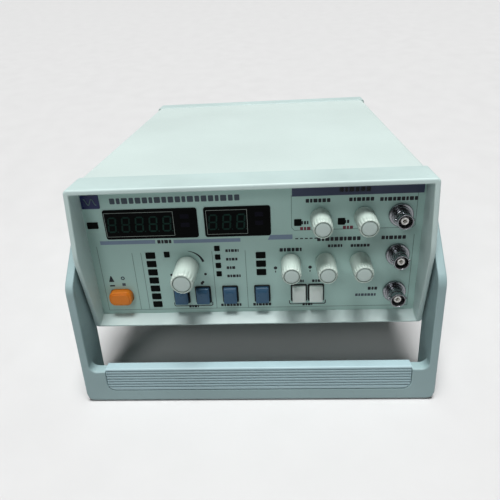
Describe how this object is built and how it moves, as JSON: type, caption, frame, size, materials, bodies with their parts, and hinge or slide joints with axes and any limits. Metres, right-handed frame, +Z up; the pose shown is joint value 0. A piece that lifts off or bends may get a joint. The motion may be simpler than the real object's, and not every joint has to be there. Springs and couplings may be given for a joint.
{
  "type": "bench frequency counter",
  "caption": "Bench signal generator and counter in a light grey case, with displays, knobs, push buttons and coaxial sockets, standing nose-up on its swing-down carrying handle.",
  "frame": {"origin": "on the bench, under the middle of the instrument's box as it stands on its handle and rear feet", "axes": "+X to the instrument's right as seen from the front, +Y to the back, +Z up; the case is tipped nose-up by 7.04 degrees"},
  "size_m": [0.2336, 0.32, 0.1431],
  "materials": {
    "frame_plastic": "fine-textured moulded plastic",
    "cover_paint": "satin powder coat on sheet steel",
    "panel_face": "matt screen-printed panel",
    "handle_plastic": "satin moulded plastic",
    "grip_plastic": "satin ribbed plastic",
    "knob_ivory": "satin fluted plastic",
    "button_blue": "semi-gloss",
    "button_white": "semi-gloss",
    "power_orange": "semi-gloss",
    "badge_blue": "smooth label",
    "smoked_window": "smoked acrylic",
    "lamp_lens": "smoked lens",
    "black_plastic": "satin",
    "black_rubber": "matt",
    "nickel": "nickel plate",
    "white_insulator": "smooth",
    "brass_pins": "plated",
    "steel": "zinc plated",
    "board_green": "solder mask",
    "core_iron": "varnished laminations",
    "winding_wrap": "taped copper winding",
    "black_aluminium": "black anodised",
    "can_sleeve": "sleeved cans",
    "ribbon_grey": "flat cable"
  },
  "bodies": {
    "case": {"front_frame": "frame_plastic", "rear_frame": "frame_plastic", "rear_panel": "frame_plastic", "top_cover": "cover_paint", "bottom_cover": "cover_paint", "side_rails": "steel", "chassis_tray": "steel", "rubber_feet": "black_rubber", "case_screws": "steel", "machine_screws": "steel", "front_panel": "panel_face", "display_windows": "smoked_window", "digit_modules": "black_plastic", "panel_lamps": "lamp_lens", "corner_badge": "badge_blue", "button_surrounds": "black_plastic", "button_switches": "black_plastic", "power_switch": "black_plastic", "control_bodies": "steel", "coaxial_sockets": "nickel", "socket_insulators": "white_insulator", "contact_pins": "brass_pins", "front_board": "board_green", "posts_and_nuts": "steel", "mains_inlet": "black_plastic", "fuse_drawer": "black_plastic", "mains_lead": "black_rubber", "power_board": "board_green", "transformer_core": "core_iron", "transformer_winding": "winding_wrap", "transformer_clamp": "steel", "heatsink": "black_aluminium", "chips_and_regulators": "black_plastic", "capacitors_and_crystal": "can_sleeve", "board_headers": "black_plastic", "ribbon_cable": "ribbon_grey", "handle_pivots": "steel", "hub_caps": "handle_plastic", "friction_washers": "black_rubber"},
    "handle": {"handle_bail": "handle_plastic", "grip_sleeve": "grip_plastic"},
    "power_button": {"power_button": "power_orange"},
    "button_range_down": {"button_range_down": "button_blue"},
    "button_range_up": {"button_range_up": "button_blue"},
    "button_function": {"button_function": "button_blue"},
    "button_waveform": {"button_waveform": "button_blue"},
    "button_attenuator_20": {"button_attenuator_20": "button_white"},
    "button_attenuator_40": {"button_attenuator_40": "button_white"},
    "knob_tuning": {"knob_tuning": "knob_ivory", "shaft_tuning": "steel"},
    "knob_offset": {"knob_offset": "knob_ivory", "shaft_offset": "steel"},
    "knob_sweep_width": {"knob_sweep_width": "knob_ivory", "shaft_sweep_width": "steel"},
    "knob_sweep_rate": {"knob_sweep_rate": "knob_ivory", "shaft_sweep_rate": "steel"},
    "knob_symmetry": {"knob_symmetry": "knob_ivory", "shaft_symmetry": "steel"},
    "knob_amplitude": {"knob_amplitude": "knob_ivory", "shaft_amplitude": "steel"}
  },
  "joints": [
    {"name": "handle_swing", "type": "hinge", "parent": "case", "child": "handle", "pos_m": [0, -0.0928, 0.10064], "axis": [-1, 0, 0], "range_deg": [-66, 205]},
    {"name": "power_press", "type": "slide", "parent": "case", "child": "power_button", "axis": [0, 0.9912, -0.1325], "range_m": [0, 0.0035], "stiffness_N_per_m": 700},
    {"name": "range_down_press", "type": "slide", "parent": "case", "child": "button_range_down", "axis": [0, 0.9912, -0.1325], "range_m": [0, 0.0022], "stiffness_N_per_m": 800},
    {"name": "range_up_press", "type": "slide", "parent": "case", "child": "button_range_up", "axis": [0, 0.9912, -0.1325], "range_m": [0, 0.0022], "stiffness_N_per_m": 800},
    {"name": "function_press", "type": "slide", "parent": "case", "child": "button_function", "axis": [0, 0.9912, -0.1325], "range_m": [0, 0.0022], "stiffness_N_per_m": 800},
    {"name": "waveform_press", "type": "slide", "parent": "case", "child": "button_waveform", "axis": [0, 0.9912, -0.1325], "range_m": [0, 0.0022], "stiffness_N_per_m": 800},
    {"name": "attenuator_20_press", "type": "slide", "parent": "case", "child": "button_attenuator_20", "axis": [0, 0.9912, -0.1325], "range_m": [0, 0.0022], "stiffness_N_per_m": 800},
    {"name": "attenuator_40_press", "type": "slide", "parent": "case", "child": "button_attenuator_40", "axis": [0, 0.9912, -0.1325], "range_m": [0, 0.0022], "stiffness_N_per_m": 800},
    {"name": "tuning_turn", "type": "hinge", "parent": "case", "child": "knob_tuning", "pos_m": [-0.0428, -0.11932, 0.08341], "axis": [0, -0.9912, 0.1325], "range_deg": [-150, 150]},
    {"name": "offset_turn", "type": "hinge", "parent": "case", "child": "knob_offset", "pos_m": [0.0247, -0.11913, 0.08479], "axis": [0, -0.9912, 0.1325], "range_deg": [-150, 150]},
    {"name": "sweep_width_turn", "type": "hinge", "parent": "case", "child": "knob_sweep_width", "pos_m": [0.0433, -0.11507, 0.11512], "axis": [0, -0.9912, 0.1325], "range_deg": [-150, 150]},
    {"name": "sweep_rate_turn", "type": "hinge", "parent": "case", "child": "knob_sweep_rate", "pos_m": [0.07, -0.11507, 0.11512], "axis": [0, -0.9912, 0.1325], "range_deg": [-150, 150]},
    {"name": "symmetry_turn", "type": "hinge", "parent": "case", "child": "knob_symmetry", "pos_m": [0.0468, -0.11913, 0.08479], "axis": [0, -0.9912, 0.1325], "range_deg": [-150, 150]},
    {"name": "amplitude_turn", "type": "hinge", "parent": "case", "child": "knob_amplitude", "pos_m": [0.0686, -0.11913, 0.08479], "axis": [0, -0.9912, 0.1325], "range_deg": [-150, 150]}
  ]
}
